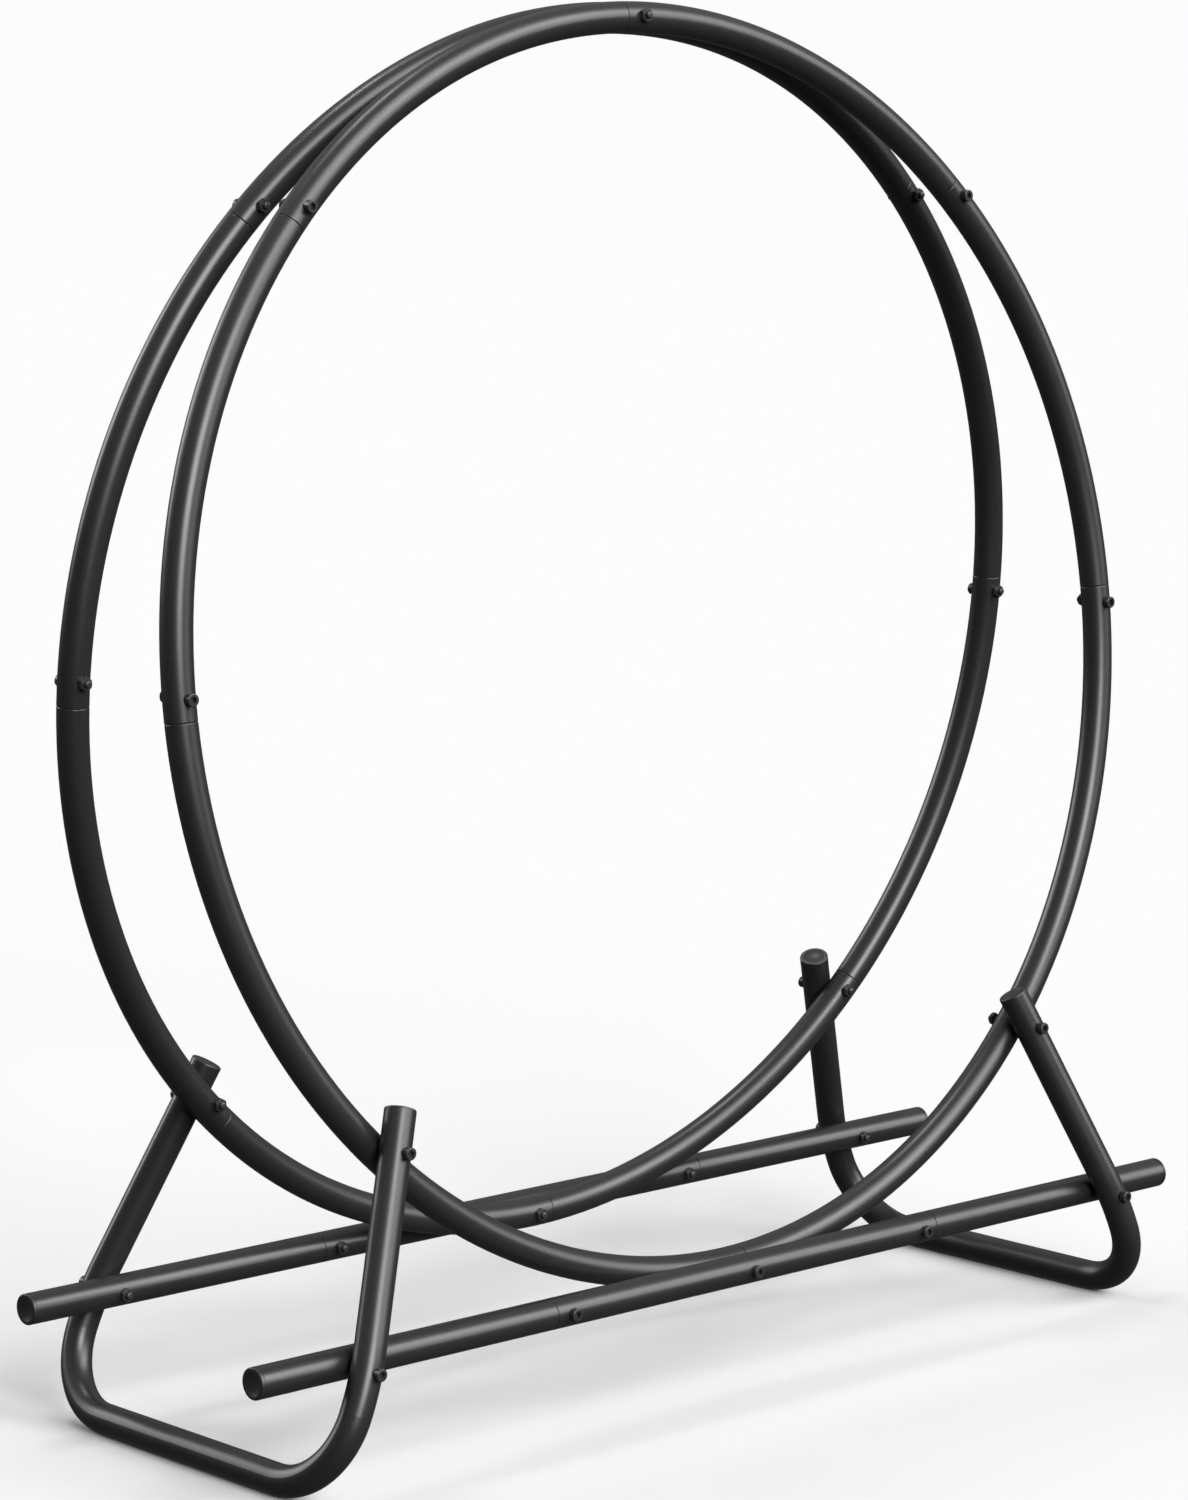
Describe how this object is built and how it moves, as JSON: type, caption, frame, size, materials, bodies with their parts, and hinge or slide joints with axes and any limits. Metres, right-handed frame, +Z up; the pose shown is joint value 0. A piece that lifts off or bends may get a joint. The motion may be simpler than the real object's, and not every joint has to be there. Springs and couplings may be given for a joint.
{
  "type": "firewood log rack",
  "caption": "Round tube firewood rack: leaning hoops hold logs between them, on base bars and bent tube leg frames.",
  "frame": {"origin": "on the floor below the middle of the rack", "axes": "+X along the base bars to the right end, +Y from front to back, +Z up"},
  "size_m": [1.025, 0.3764, 1.1098],
  "materials": {
    "powder_coat": "satin charcoal black powder coat, fine texture",
    "black_plastic": "moulded black plastic",
    "black_fastener": "black coated steel, semi-gloss"
  },
  "bodies": {
    "root": {"back_bar_left_plug": "black_plastic", "back_bar_right_plug": "black_plastic", "back_base_bar_centre": "powder_coat", "back_base_bar_left": "powder_coat", "back_base_bar_right": "powder_coat", "back_hoop_segment_1": "powder_coat", "back_hoop_segment_2": "powder_coat", "back_hoop_segment_3": "powder_coat", "back_hoop_segment_4": "powder_coat", "back_hoop_segment_5": "powder_coat", "back_hoop_segment_6": "powder_coat", "back_hoop_segment_7": "powder_coat", "back_hoop_segment_8": "powder_coat", "back_leg_left_plug": "black_plastic", "back_leg_right_plug": "black_plastic", "bar_leg_bolts": "black_fastener", "bar_leg_nuts": "black_fastener", "bar_splice_bolts": "black_fastener", "bar_splice_nuts": "black_fastener", "front_bar_left_plug": "black_plastic", "front_bar_right_plug": "black_plastic", "front_base_bar_centre": "powder_coat", "front_base_bar_left": "powder_coat", "front_base_bar_right": "powder_coat", "front_hoop_segment_1": "powder_coat", "front_hoop_segment_2": "powder_coat", "front_hoop_segment_3": "powder_coat", "front_hoop_segment_4": "powder_coat", "front_hoop_segment_5": "powder_coat", "front_hoop_segment_6": "powder_coat", "front_hoop_segment_7": "powder_coat", "front_hoop_segment_8": "powder_coat", "front_leg_left_plug": "black_plastic", "front_leg_right_plug": "black_plastic", "hoop_bar_bolts": "black_fastener", "hoop_bar_nuts": "black_fastener", "hoop_leg_bolts": "black_fastener", "hoop_leg_nuts": "black_fastener", "hoop_splice_bolts": "black_fastener", "hoop_splice_nuts": "black_fastener", "hoop_top_bolt": "black_fastener", "hoop_top_nut": "black_fastener", "left_leg_frame": "powder_coat", "right_leg_frame": "powder_coat"}
  },
  "joints": []
}
